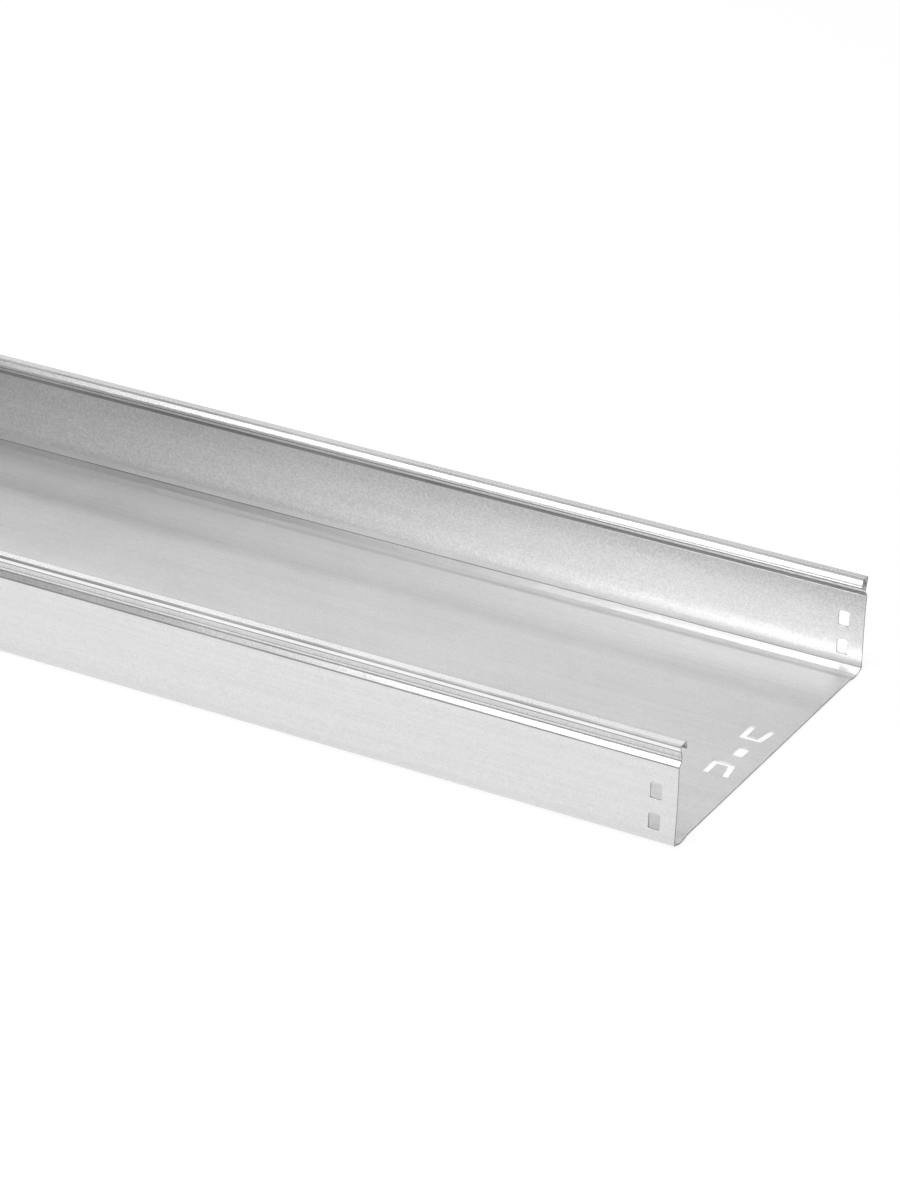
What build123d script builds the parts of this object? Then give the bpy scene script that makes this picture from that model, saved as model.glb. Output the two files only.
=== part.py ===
"""Solid cable tray: one galvanised sheet folded into a shallow open channel.

Millimetres, +Z up. The tray lies along X with its base down. The origin is the
middle of the length and of the width, on the plane that the tray rests on.
"""

import os

from build123d import *

# Overall sizes
tray_length = 3000.0
tray_width = 200.0
side_height = 50.0
sheet_thickness = 0.8
bend_radius = 1.2

# Foot bead under each wall, measured inward from the outermost line of the side
foot_depth = 0.9
foot_slope_start = 14.0
foot_flat_start = 9.5
foot_flat_end = 5.5
heel_rise = 1.6
heel_straight = 1.2

# Lower strip of the wall, which leans in a little before the wall runs straight up
heel_height = 5.0
wall_inset = 0.4

# Lid groove and rolled rim; heights are taken down from the top of the rim
groove_start_drop = 10.7
groove_depth = 2.3
groove_low_drop = 8.3
groove_high_drop = 6.8
rim_low_drop = 3.5
rim_low_inset = 1.6
rim_outer_inset = 0.9
rim_radius = 1.8
rim_flat_end = 3.9
rim_nose_inset = 7.4
rim_nose_drop = 2.6
rim_lip_inset = 7.0
rim_lip_drop = 3.7

# Fixing holes through both walls at each end
wall_hole_width = 5.5
wall_hole_height = 8.0
wall_hole_arch = 0.8
wall_hole_from_end = 10.4
wall_hole_low_height = 10.0
wall_hole_pitch = 14.8

# Punched pattern in the base at each end, off the middle line of the base
pattern_offset = -5.9
base_hole_from_end = 12.7
base_hole_length = 5.3
base_hole_width = 8.8
tongue_slot = 3.0
tongue_far_edge = 20.1
tongue_near_edge = 9.0
tongue_back = 12.7
tongue_tip = 25.2
tongue_flare = 1.9

# Derived positions
half_length = tray_length / 2
half_width = tray_width / 2
base_level = foot_depth
top_level = base_level + side_height
flare_per_mm = tongue_flare / (tongue_tip - tongue_back)
tongue_near_inner = tongue_near_edge - flare_per_mm * tongue_slot + tongue_slot

# Lower and outer face of one half of the sheet, from the middle of the base to the lip
outer_face = [
    (0, base_level),
    (half_width - foot_slope_start, base_level),
    (half_width - foot_flat_start, 0),
    (half_width - foot_flat_end, 0),
    (half_width, heel_rise),
    (half_width, heel_rise + heel_straight),
    (half_width - wall_inset, base_level + heel_height),
    (half_width - wall_inset, top_level - groove_start_drop),
    (half_width - wall_inset - groove_depth, top_level - groove_low_drop),
    (half_width - wall_inset - groove_depth, top_level - groove_high_drop),
    (half_width - rim_low_inset, top_level - rim_low_drop),
    (half_width - rim_outer_inset, top_level),
    (half_width - rim_flat_end, top_level),
    (half_width - rim_nose_inset, top_level - rim_nose_drop),
    (half_width - rim_lip_inset, top_level - rim_lip_drop),
]

# Outside radius of each bend in that order; the outer corner of the rim is the rounder one
bend_radii = [bend_radius] * 10 + [rim_radius] + [bend_radius] * 2

# One wall hole, with straight sides and gently arched top and bottom
straight_half = wall_hole_height / 2 - wall_hole_arch
with BuildSketch() as wall_hole:
    with BuildLine():
        Line((-wall_hole_width / 2, -straight_half), (-wall_hole_width / 2, straight_half))
        ThreePointArc(
            (-wall_hole_width / 2, straight_half),
            (0, wall_hole_height / 2),
            (wall_hole_width / 2, straight_half),
        )
        Line((wall_hole_width / 2, straight_half), (wall_hole_width / 2, -straight_half))
        ThreePointArc(
            (wall_hole_width / 2, -straight_half),
            (0, -wall_hole_height / 2),
            (-wall_hole_width / 2, -straight_half),
        )
    make_face()

# Base pattern at the end on the +X side: one rectangle between two U slots
with BuildSketch() as base_pattern:
    with Locations((half_length - base_hole_from_end, pattern_offset)):
        Rectangle(base_hole_length, base_hole_width)
    for side in (-1, 1):
        with BuildLine():
            Polyline(
                (half_length - tongue_far_edge, pattern_offset + side * tongue_back),
                (half_length - tongue_near_edge, pattern_offset + side * tongue_back),
                (half_length - tongue_near_edge + tongue_flare, pattern_offset + side * tongue_tip),
                (
                    half_length - tongue_near_edge + tongue_flare - tongue_slot,
                    pattern_offset + side * tongue_tip,
                ),
                (
                    half_length - tongue_near_inner,
                    pattern_offset + side * (tongue_back + tongue_slot),
                ),
                (
                    half_length - tongue_far_edge + tongue_slot,
                    pattern_offset + side * (tongue_back + tongue_slot),
                ),
                (
                    half_length - tongue_far_edge + tongue_slot,
                    pattern_offset + side * tongue_tip,
                ),
                (half_length - tongue_far_edge, pattern_offset + side * tongue_tip),
                close=True,
            )
        make_face()

with BuildPart() as tray:
    # Folded sheet: half the section, mirrored and drawn out along the length
    with BuildSketch(Plane.YZ):
        with BuildLine():
            outside = FilletPolyline(*outer_face, radius=bend_radii)
            offset(outside, amount=sheet_thickness, side=Side.LEFT)
        make_face()
        mirror(about=Plane.YZ)
    extrude(amount=half_length, both=True)

    # Two holes above each other in both walls, at both ends
    with BuildSketch(Plane.XZ):
        with Locations(
            (half_length - wall_hole_from_end, base_level + wall_hole_low_height),
            (half_length - wall_hole_from_end, base_level + wall_hole_low_height + wall_hole_pitch),
            (wall_hole_from_end - half_length, base_level + wall_hole_low_height),
            (wall_hole_from_end - half_length, base_level + wall_hole_low_height + wall_hole_pitch),
        ):
            add(wall_hole.sketch)
    extrude(amount=tray_width, both=True, mode=Mode.SUBTRACT)

    # Base pattern at both ends
    with BuildSketch(Plane.XY):
        add(base_pattern.sketch)
        mirror(about=Plane.YZ)
    extrude(amount=base_level + 2 * sheet_thickness, mode=Mode.SUBTRACT)

tray.part.label = "tray"

os.makedirs("parts", exist_ok=True)
export_step(tray.part, "parts/tray.step")
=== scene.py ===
import math
import bmesh
import bpy
from mathutils import Matrix, Vector


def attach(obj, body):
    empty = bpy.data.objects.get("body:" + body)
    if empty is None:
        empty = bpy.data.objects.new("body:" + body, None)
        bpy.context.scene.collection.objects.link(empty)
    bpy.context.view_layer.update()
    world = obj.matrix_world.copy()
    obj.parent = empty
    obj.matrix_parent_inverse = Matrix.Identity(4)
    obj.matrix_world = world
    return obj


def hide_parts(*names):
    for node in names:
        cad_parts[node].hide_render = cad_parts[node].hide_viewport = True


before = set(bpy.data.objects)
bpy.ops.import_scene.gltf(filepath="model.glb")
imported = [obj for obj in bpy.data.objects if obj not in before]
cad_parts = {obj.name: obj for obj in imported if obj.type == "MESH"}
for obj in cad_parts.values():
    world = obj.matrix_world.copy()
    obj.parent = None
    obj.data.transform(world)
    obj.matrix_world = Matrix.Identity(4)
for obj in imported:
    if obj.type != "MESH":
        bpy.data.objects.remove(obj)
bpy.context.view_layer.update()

# The camera stands past the end of the tray, on the side of its near wall, and looks
# down along the channel, so that the far end runs out of the picture on the left.
camera_data = bpy.data.cameras.new("camera")
camera_data.sensor_width = 36.0
camera_data.lens = 127.75
camera_data.clip_end = 50.0
camera = bpy.data.objects.new("camera", camera_data)
bpy.context.scene.collection.objects.link(camera)
to_right = Vector((0.8747691, 0.4836746, 0.028945))
to_front = Vector((-0.4228709, 0.7912351, -0.4417322))
to_top = to_right.cross(to_front)
camera.matrix_world = Matrix.Translation((2.169660, -1.565852, 0.909218)) @ Matrix(
    (to_right, to_top, -to_front)
).transposed().to_4x4()
bpy.context.scene.camera = camera

# The tray is one strip of galvanised steel, 0.8 mm thick and 3 m long. Rollers fold it
# into a channel, with a foot bead under each wall, a groove that takes the edge of a
# lid, and a rim rolled inwards so that cables aren't cut.
half_length = 1.5
sheet_thickness = 0.0008
base_level = 0.0009

# Fold lines on the outer face, from the base to the lip: distance from the middle line,
# height, outside bend radius, and the fold mark there, which dulls the zinc and darkens it with
# painted shade.
folds = [
    (0.0860, 0.0009, 0.0012, 0.15),
    (0.0905, 0.0, 0.0012, 0.15),
    (0.0945, 0.0, 0.0012, 0.15),
    (0.1000, 0.0016, 0.0012, 1.0),
    (0.1000, 0.0028, 0.0012, 0.15),
    (0.0996, 0.0059, 0.0012, 0.05),
    (0.0996, 0.0402, 0.0012, 1.0),
    (0.0973, 0.0426, 0.0012, 0.9),
    (0.0973, 0.0441, 0.0012, 1.0),
    (0.0985, 0.0474, 0.0050, 1.0),
    (0.0991, 0.0505, 0.0010, 1.0),
    (0.0934, 0.0507, 0.0012, 1.0),
    (0.0920, 0.0477, 0.0012, 0.15),
]
lip_end = (0.0924, 0.0466)

strip = bmesh.new()
line = [strip.verts.new((-half_length, 0.0, base_level))]
line += [strip.verts.new((-half_length, out, up)) for out, up, _, _ in folds]
line.append(strip.verts.new((-half_length, *lip_end)))
for start, end in zip(line, line[1:]):
    strip.edges.new((start, end))
drawn = bmesh.ops.extrude_edge_only(strip, edges=strip.edges[:])
bmesh.ops.translate(
    strip,
    verts=[v for v in drawn["geom"] if isinstance(v, bmesh.types.BMVert)],
    vec=(2 * half_length, 0.0, 0.0),
)
# The fold mark darkens the zinc along each bend as painted shade, and also dulls it.
fold_shade_and_dulling_layer = strip.verts.layers.float.new("fold_shade_and_dulling")
for out, up, bend, shade_and_dulling in folds:
    at_fold = [
        e
        for e in strip.edges
        if all(abs(v.co.y - out) < 1e-6 and abs(v.co.z - up) < 1e-6 for v in e.verts)
    ]
    turn = at_fold[0].calc_face_angle()
    rounded = bmesh.ops.bevel(
        strip,
        geom=at_fold,
        offset=bend * math.tan(turn / 2),
        offset_type="OFFSET",
        segments=max(3, round(math.degrees(turn) / 9)),
        profile=0.5,
        affect="EDGES",
        clamp_overlap=False,
        material=-1,
    )
    curved = set(rounded["faces"])
    for vert in rounded["verts"]:
        if curved.issuperset(vert.link_faces):
            vert[fold_shade_and_dulling_layer] = shade_and_dulling

# The rolled walls aren't dead flat: each stands in a little, most at three quarters of its
# height. Seven strips follow that curve, whose own peak is 0.45.
wall_foot, wall_head, wall_side = 0.0064, 0.0395, 0.0994
wall_bow, curve_peak = 0.0004, 0.45
bow_strips = 7
for cut in range(bow_strips + 1):
    bmesh.ops.bisect_plane(
        strip,
        geom=strip.verts[:] + strip.edges[:] + strip.faces[:],
        plane_co=(0.0, 0.0, wall_foot + (wall_head - wall_foot) * cut / bow_strips),
        plane_no=(0.0, 0.0, 1.0),
    )
for vert in strip.verts:
    share = (vert.co.z - wall_foot) / (wall_head - wall_foot)
    if vert.co.y > wall_side and 0.0 < share < 1.0:
        vert.co.y -= wall_bow * share * (1 - share) * (1 + 2 * share) / curve_peak
bmesh.ops.mirror(
    strip,
    geom=strip.verts[:] + strip.edges[:] + strip.faces[:],
    matrix=Matrix.Identity(4),
    merge_dist=1e-6,
    axis="Y",
)
bmesh.ops.recalc_face_normals(strip, faces=strip.faces[:])
if sum(f.normal.z * f.calc_area() for f in strip.faces) > 0:
    bmesh.ops.reverse_faces(strip, faces=strip.faces[:])
bmesh.ops.solidify(strip, geom=strip.faces[:], thickness=sheet_thickness)
bmesh.ops.recalc_face_normals(strip, faces=strip.faces[:])

# A fold mark, which dulls the zinc and darkens it with painted shade, is set differently on the
# two sides of the sheet.
# Where: the side (1 is out), the least and greatest distance from the middle line and height,
# and the mark there. The full mark on the inner face of the groove's lower slope is painted
# shade.
one_sided = [
    (1, 0.0985, 0.1001, 0.0000, 0.0045, 0.0),
    (-1, 0.0945, 0.0985, 0.0005, 0.0025, 0.15),
    (-1, 0.0985, 0.0995, 0.0388, 0.0402, 0.0),
    (-1, 0.0960, 0.0990, 0.0402, 0.0428, 1.0),
    (-1, 0.0960, 0.0990, 0.0455, 0.0503, 0.0),
    (1, 0.0920, 0.0960, 0.0465, 0.0503, 0.0),
]
for side, nearest, farthest, lowest, highest, shade_and_dulling in one_sided:
    for face in strip.faces:
        middle = face.calc_center_median()
        within = nearest < abs(middle.y) < farthest and lowest < middle.z < highest
        if within and face.normal.y * middle.y * side > 0:
            for vert in face.verts:
                vert[fold_shade_and_dulling_layer] = shade_and_dulling
for face in strip.faces:
    face.smooth = True
    face.material_index = 1 if abs(face.normal.x) > 0.9 else 0
tray_mesh = bpy.data.meshes.new("tray_sheet")
strip.to_mesh(tray_mesh)
strip.free()
tray = bpy.data.objects.new("tray_sheet", tray_mesh)
bpy.context.scene.collection.objects.link(tray)

# Punched openings at both ends: two holes above each other in both walls, and a rectangle
# between two U slots in the base. Each punch is an outline drawn out into a solid tool.
punches = bmesh.new()


def punch(outline, stroke):
    """Add one punch: its outline as points, and the way and distance that it is drawn out."""
    corners = [punches.verts.new(point) for point in outline]
    face = punches.faces.new(corners)
    tool = bmesh.ops.extrude_face_region(punches, geom=[face])
    moved = [v for v in tool["geom"] if isinstance(v, bmesh.types.BMVert)]
    bmesh.ops.translate(punches, verts=moved, vec=stroke)


hole_from_end = 0.0104
hole_half_width = 0.00275
hole_half_height = 0.0040
hole_arch = 0.0005
arch_steps = 8
for along in (half_length - hole_from_end, hole_from_end - half_length):
    for up in (base_level + 0.0100, base_level + 0.0248):
        arch = []
        for step in range(arch_steps + 1):
            share = 2 * step / arch_steps - 1
            arch.append((share * hole_half_width, hole_half_height - hole_arch * share**2))
        outline = arch + [(-across, -high) for across, high in arch]
        punch([(along + across, -0.11, up + high) for across, high in outline], (0.0, 0.22, 0.0))

pattern_middle = -0.0059
for end in (1, -1):
    reach = end * half_length
    square = [(0.01005, -0.0044), (0.01005, 0.0044), (0.01535, 0.0044), (0.01535, -0.0044)]
    punch(
        [(reach - end * back, pattern_middle + y, -0.004) for back, y in square],
        (0.0, 0.0, 0.008),
    )
    for side in (1, -1):
        slot = [
            (0.0201, 0.0127), (0.0090, 0.0127), (0.0071, 0.0252), (0.0101, 0.0252),
            (0.01154, 0.0157), (0.0171, 0.0157), (0.0171, 0.0252), (0.0201, 0.0252),
        ]
        punch(
            [(reach - end * back, pattern_middle + side * y, -0.004) for back, y in slot],
            (0.0, 0.0, 0.008),
        )

# The long punches go through both walls; their edges get the dark sheared-edge material,
# bare steel darkened further with painted shade. The base punches' edges get the zinc.
longest_base_punch = 0.1
for face in punches.faces:
    across = max(vert.co.y for vert in face.verts) - min(vert.co.y for vert in face.verts)
    # Painted shade: the wall holes' edges take the dark edge material.
    face.material_index = 0 if across > longest_base_punch else 1
bmesh.ops.recalc_face_normals(punches, faces=punches.faces[:])
punch_mesh = bpy.data.meshes.new("punches")
punches.to_mesh(punch_mesh)
punches.free()
punch_tool = bpy.data.objects.new("punches", punch_mesh)
bpy.context.scene.collection.objects.link(punch_tool)

# Hot-dip galvanised sheet: satin zinc with a fine grain, faint roller streaks along the
# length and slow cloudy changes of tone. The rim and the feet are rubbed brighter, folds are
# dulled and darkened with painted shade, and the sheared edges of the ends and the wall holes
# show bare steel darkened further with painted shade.
grain_group = bpy.data.node_groups.new("zinc_grain", "ShaderNodeTree")
for label, way, kind in (
    ("Place", "INPUT", "NodeSocketVector"),
    ("Fineness", "INPUT", "NodeSocketFloat"),
    ("Grain", "OUTPUT", "NodeSocketFloat"),
    ("Crystals", "OUTPUT", "NodeSocketFloat"),
):
    grain_group.interface.new_socket(label, in_out=way, socket_type=kind)
inside = grain_group.nodes.new("NodeGroupInput")
outside = grain_group.nodes.new("NodeGroupOutput")
speckle = grain_group.nodes.new("ShaderNodeTexNoise")
speckle.inputs["Detail"].default_value = 2.0
speckle.inputs["Roughness"].default_value = 0.6
crystal = grain_group.nodes.new("ShaderNodeTexVoronoi")
coarser = grain_group.nodes.new("ShaderNodeMath")
coarser.operation = "MULTIPLY"
coarser.inputs[1].default_value = 0.35
crystal_tone = grain_group.nodes.new("ShaderNodeSeparateColor")
grain_group.links.new(inside.outputs["Place"], speckle.inputs["Vector"])
grain_group.links.new(inside.outputs["Fineness"], speckle.inputs["Scale"])
grain_group.links.new(inside.outputs["Place"], crystal.inputs["Vector"])
grain_group.links.new(inside.outputs["Fineness"], coarser.inputs[0])
grain_group.links.new(coarser.outputs[0], crystal.inputs["Scale"])
grain_group.links.new(crystal.outputs["Color"], crystal_tone.inputs["Color"])
grain_group.links.new(speckle.outputs["Fac"], outside.inputs["Grain"])
grain_group.links.new(crystal_tone.outputs["Red"], outside.inputs["Crystals"])

zinc = bpy.data.materials.new("hot_dip_zinc")
zinc.use_nodes = True
nodes, links = zinc.node_tree.nodes, zinc.node_tree.links
metal = nodes["Principled BSDF"]
metal.inputs["Metallic"].default_value = 1.0
metal.inputs["Anisotropic"].default_value = 0.6
metal.inputs["Anisotropic Rotation"].default_value = 0.25
along_sheet = nodes.new("ShaderNodeCombineXYZ")
along_sheet.inputs["X"].default_value = 1.0
links.new(along_sheet.outputs["Vector"], metal.inputs["Tangent"])
place = nodes.new("ShaderNodeTexCoord")
grain = nodes.new("ShaderNodeGroup")
grain.node_tree = grain_group
grain.inputs["Fineness"].default_value = 1050.0
links.new(place.outputs["Object"], grain.inputs["Place"])


def drawn_noise(stretch, detail):
    """Noise stretched along the sheet: features per metre along the length and across."""
    turn_in = nodes.new("ShaderNodeMapping")
    turn_in.inputs["Scale"].default_value = stretch
    noise = nodes.new("ShaderNodeTexNoise")
    noise.inputs["Scale"].default_value = 1.0
    noise.inputs["Detail"].default_value = detail
    links.new(place.outputs["Object"], turn_in.inputs["Vector"])
    links.new(turn_in.outputs["Vector"], noise.inputs["Vector"])
    return noise.outputs["Fac"]


def arithmetic(operation, first, second, third=None):
    """One Math node; each value is a number or another node's output."""
    node = nodes.new("ShaderNodeMath")
    node.operation = operation
    for socket, value in zip(node.inputs, (first, second, third)):
        if value is None:
            continue
        if isinstance(value, (int, float)):
            socket.default_value = value
        else:
            links.new(value, socket)
    return node.outputs[0]


def ranged(value, low, high, to_low, to_high):
    """A Map Range node that holds the value between its ends."""
    node = nodes.new("ShaderNodeMapRange")
    links.new(value, node.inputs["Value"])
    ends = {"From Min": low, "From Max": high, "To Min": to_low, "To Max": to_high}
    for name, number in ends.items():
        node.inputs[name].default_value = number
    return node.outputs["Result"]


streaks = drawn_noise((6.0, 750.0, 750.0), 2.0)
bands = drawn_noise((2.5, 95.0, 95.0), 1.0)
clouds = drawn_noise((14.0, 26.0, 26.0), 3.0)

# Where on the section a point lies: inside a wall, on the rim or under a foot.
section = nodes.new("ShaderNodeSeparateXYZ")
links.new(place.outputs["Object"], section.inputs["Vector"])
height = section.outputs["Z"]
inner = ranged(arithmetic("ABSOLUTE", section.outputs["Y"], None), 0.0988, 0.0990, 1.0, 0.0)
inner_wall = arithmetic("MULTIPLY", inner, ranged(height, 0.003, 0.007, 0.0, 1.0))
on_rim = ranged(height, 0.0473, 0.0477, 0.0, 1.0)
on_foot = ranged(height, 0.0003, 0.0006, 1.0, 0.0)

even_grain = arithmetic("SUBTRACT", grain.outputs["Grain"], 0.5)
tone = arithmetic("MULTIPLY_ADD", streaks, 0.55, 0.05)
tone = arithmetic("MULTIPLY_ADD", bands, 0.25, tone)
tone = arithmetic("MULTIPLY_ADD", clouds, 0.25, tone)
tone = arithmetic("MULTIPLY_ADD", grain.outputs["Crystals"], 0.10, tone)
grain_contrast = arithmetic("MULTIPLY_ADD", inner_wall, 1.6, 1.2)
tone = arithmetic("MULTIPLY_ADD", even_grain, grain_contrast, tone)
tone = ranged(tone, 0.10, 1.14, 0.0, 1.0)

fold_shade_and_dulling = nodes.new("ShaderNodeAttribute")
fold_shade_and_dulling.attribute_name = "fold_shade_and_dulling"
handled = arithmetic("MAXIMUM", on_rim, on_foot)
rubbed = arithmetic("MULTIPLY", handled, ranged(clouds, 0.35, 0.65, 0.7, 1.0))
# Painted shade: the zinc is darkened along the folds and in the groove where the fold mark is
# set.
painted_crease_shade = arithmetic("MULTIPLY", fold_shade_and_dulling.outputs["Fac"], ranged(clouds, 0.35, 0.65, 0.9, 0.7))

zinc_tone = nodes.new("ShaderNodeMix")
zinc_tone.data_type = "RGBA"
zinc_tone.inputs["A"].default_value = (0.645, 0.645, 0.647, 1)
zinc_tone.inputs["B"].default_value = (0.835, 0.835, 0.837, 1)
links.new(tone, zinc_tone.inputs["Factor"])
worn_tone = nodes.new("ShaderNodeMix")
worn_tone.data_type = "RGBA"
worn_tone.inputs["B"].default_value = (0.92, 0.92, 0.92, 1)
links.new(rubbed, worn_tone.inputs["Factor"])
links.new(zinc_tone.outputs["Result"], worn_tone.inputs["A"])
# Painted shade along the folds: the colour goes towards dark grey with the fold mark.
crease_shade_tone = nodes.new("ShaderNodeMix")
crease_shade_tone.data_type = "RGBA"
crease_shade_tone.inputs["B"].default_value = (0.22, 0.22, 0.22, 1)
links.new(painted_crease_shade, crease_shade_tone.inputs["Factor"])
links.new(worn_tone.outputs["Result"], crease_shade_tone.inputs["A"])
links.new(crease_shade_tone.outputs["Result"], metal.inputs["Base Color"])

dullness = arithmetic("MULTIPLY_ADD", grain.outputs["Grain"], 0.10, 0.20)
dullness = arithmetic("MULTIPLY_ADD", clouds, 0.10, dullness)
dullness = arithmetic("MULTIPLY_ADD", streaks, 0.05, dullness)
dullness = arithmetic("MULTIPLY_ADD", rubbed, -0.05, dullness)
dullness = arithmetic("MULTIPLY_ADD", fold_shade_and_dulling.outputs["Fac"], 0.25, dullness)
links.new(dullness, metal.inputs["Roughness"])

# The rollers' streaks and the grain stand up a little. The rolled rim is smoother.
rolled = nodes.new("ShaderNodeBump")
rolled.inputs["Distance"].default_value = 0.000012
rolled.inputs["Strength"].default_value = 1.0
links.new(streaks, rolled.inputs["Height"])
grainy = nodes.new("ShaderNodeBump")
grainy.inputs["Distance"].default_value = 0.00007
links.new(ranged(height, 0.0470, 0.0474, 1.0, 0.3), grainy.inputs["Strength"])
links.new(grain.outputs["Grain"], grainy.inputs["Height"])
links.new(rolled.outputs["Normal"], grainy.inputs["Normal"])
links.new(grainy.outputs["Normal"], metal.inputs["Normal"])

cut_edge_with_shade = bpy.data.materials.new("sheared_edge_with_painted_shade")
cut_edge_with_shade.use_nodes = True
nodes, links = cut_edge_with_shade.node_tree.nodes, cut_edge_with_shade.node_tree.links
edge_metal = nodes["Principled BSDF"]
edge_metal.inputs["Metallic"].default_value = 1.0
place = nodes.new("ShaderNodeTexCoord")
grain = nodes.new("ShaderNodeGroup")
grain.node_tree = grain_group
grain.inputs["Fineness"].default_value = 3000.0
links.new(place.outputs["Object"], grain.inputs["Place"])
# Bare steel of the sheared edges, darkened past its own colour with painted shade.
edge_steel_and_shade_tone = nodes.new("ShaderNodeMix")
edge_steel_and_shade_tone.data_type = "RGBA"
edge_steel_and_shade_tone.inputs["A"].default_value = (0.16, 0.16, 0.16, 1)
edge_steel_and_shade_tone.inputs["B"].default_value = (0.52, 0.52, 0.52, 1)
links.new(grain.outputs["Grain"], edge_steel_and_shade_tone.inputs["Factor"])
links.new(edge_steel_and_shade_tone.outputs["Result"], edge_metal.inputs["Base Color"])
links.new(ranged(grain.outputs["Grain"], 0.3, 0.7, 0.42, 0.58), edge_metal.inputs["Roughness"])
torn = nodes.new("ShaderNodeBump")
torn.inputs["Distance"].default_value = 0.00003
links.new(grain.outputs["Grain"], torn.inputs["Height"])
links.new(torn.outputs["Normal"], edge_metal.inputs["Normal"])

tray_mesh.materials.append(zinc)
tray_mesh.materials.append(cut_edge_with_shade)
punch_mesh.materials.append(cut_edge_with_shade)
punch_mesh.materials.append(zinc)

cutting = tray.modifiers.new("punching", "BOOLEAN")
cutting.operation = "DIFFERENCE"
cutting.solver = "EXACT"
cutting.material_mode = "TRANSFER"
cutting.object = punch_tool
shown = tray.evaluated_get(bpy.context.evaluated_depsgraph_get())
punched_mesh = bpy.data.meshes.new_from_object(shown)
punched_mesh.name = "tray_sheet"
tray.modifiers.clear()
tray.data = punched_mesh
bpy.data.objects.remove(punch_tool)
punched_mesh.set_sharp_from_angle(angle=math.radians(35))

burr = tray.modifiers.new("sheared_corners", "BEVEL")
burr.limit_method = "ANGLE"
burr.angle_limit = math.radians(50)
burr.width = 0.00006
burr.segments = 1
even = tray.modifiers.new("flat_panels", "WEIGHTED_NORMAL")
even.mode = "FACE_AREA"
even.weight = 100
even.keep_sharp = True

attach(tray, "root")
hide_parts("tray")

# Pale studio floor, a tenth of a millimetre below the feet. It shows white to the camera and
# in the metal, and still takes the soft shadow of the tray.
floor_mesh = bpy.data.meshes.new("floor")
floor_bm = bmesh.new()
bmesh.ops.create_grid(floor_bm, x_segments=1, y_segments=1, size=15.0)
bmesh.ops.translate(floor_bm, verts=floor_bm.verts[:], vec=(0.0, 0.0, -0.0001))
floor_bm.to_mesh(floor_mesh)
floor_bm.free()
floor = bpy.data.objects.new("floor", floor_mesh)
bpy.context.scene.collection.objects.link(floor)
paint = bpy.data.materials.new("floor_paint")
paint.use_nodes = True
nodes, links = paint.node_tree.nodes, paint.node_tree.links
nodes.clear()
path = nodes.new("ShaderNodeLightPath")
seen = nodes.new("ShaderNodeMath")
seen.operation = "MAXIMUM"
seen_through = nodes.new("ShaderNodeMath")
seen_through.operation = "MAXIMUM"
links.new(path.outputs["Is Camera Ray"], seen.inputs[0])
links.new(path.outputs["Is Glossy Ray"], seen.inputs[1])
links.new(seen.outputs[0], seen_through.inputs[0])
links.new(path.outputs["Is Transmission Ray"], seen_through.inputs[1])
matt = nodes.new("ShaderNodeBsdfDiffuse")
matt.inputs["Color"].default_value = (0.8, 0.8, 0.8, 1)
thin = nodes.new("ShaderNodeBsdfDiffuse")
thin.inputs["Color"].default_value = (0.14, 0.14, 0.14, 1)
lift = nodes.new("ShaderNodeEmission")
lift.inputs["Color"].default_value = (1, 1, 1, 1)
lift.inputs["Strength"].default_value = 0.9
both = nodes.new("ShaderNodeAddShader")
links.new(thin.outputs[0], both.inputs[0])
links.new(lift.outputs[0], both.inputs[1])
choose = nodes.new("ShaderNodeMixShader")
links.new(seen_through.outputs[0], choose.inputs["Fac"])
links.new(matt.outputs[0], choose.inputs[1])
links.new(both.outputs[0], choose.inputs[2])
out = nodes.new("ShaderNodeOutputMaterial")
links.new(choose.outputs[0], out.inputs["Surface"])
floor_mesh.materials.append(paint)

# Studio light: soft boxes hang over the near end and over the middle of the tray, a box and
# a narrow strip stand in front and two broad ones behind, in an evenly lit pale room.
world = bpy.data.worlds.new("studio")
world.use_nodes = True
bpy.context.scene.world = world
nodes, links = world.node_tree.nodes, world.node_tree.links
nodes.clear()
path = nodes.new("ShaderNodeLightPath")
room = nodes.new("ShaderNodeBackground")
room.inputs["Color"].default_value = (1, 1, 1, 1)
room.inputs["Strength"].default_value = 0.3
white = nodes.new("ShaderNodeBackground")
white.inputs["Color"].default_value = (1, 1, 1, 1)
white.inputs["Strength"].default_value = 1.0
choose = nodes.new("ShaderNodeMixShader")
links.new(path.outputs["Is Camera Ray"], choose.inputs["Fac"])
links.new(room.outputs[0], choose.inputs[1])
links.new(white.outputs[0], choose.inputs[2])
out = nodes.new("ShaderNodeOutputWorld")
links.new(choose.outputs[0], out.inputs["Surface"])


def soft_box(name, centre, aim, wide, high, level):
    """A soft box that faces a point. Its level is its brightness, with white paper as 1."""
    light = bpy.data.lights.new(name, "AREA")
    light.shape = "RECTANGLE"
    light.size = wide
    light.size_y = high
    light.energy = level * math.pi * wide * high
    lamp = bpy.data.objects.new(name, light)
    facing = (Vector(aim) - Vector(centre)).to_track_quat("-Z", "Y")
    lamp.matrix_world = Matrix.Translation(centre) @ facing.to_matrix().to_4x4()
    lamp.visible_camera = False
    bpy.context.scene.collection.objects.link(lamp)


soft_box("key_box", (1.2, -0.55, 1.4), (1.2, -0.55, 0.0), 0.9, 0.6, 8.9)
soft_box("overhead_box", (0.3, 0.35, 1.4), (0.3, 0.35, 0.0), 0.9, 0.6, 3.7)
soft_box("front_box", (0.5, -1.5, 0.65), (0.5, 0.0, 0.65), 0.8, 0.3, 3.2)
soft_box("front_strip", (0.7, -1.5, 0.9), (0.7, 0.0, 0.9), 0.4, 0.2, 4.3)
soft_box("back_box", (0.1, 1.3, 0.8), (0.1, 0.0, 0.8), 2.0, 0.9, 0.36)
soft_box("back_strip", (0.1, 1.3, 1.4), (0.1, 0.0, 1.4), 2.0, 0.3, 1.8)

bpy.context.scene.view_settings.view_transform = "Standard"
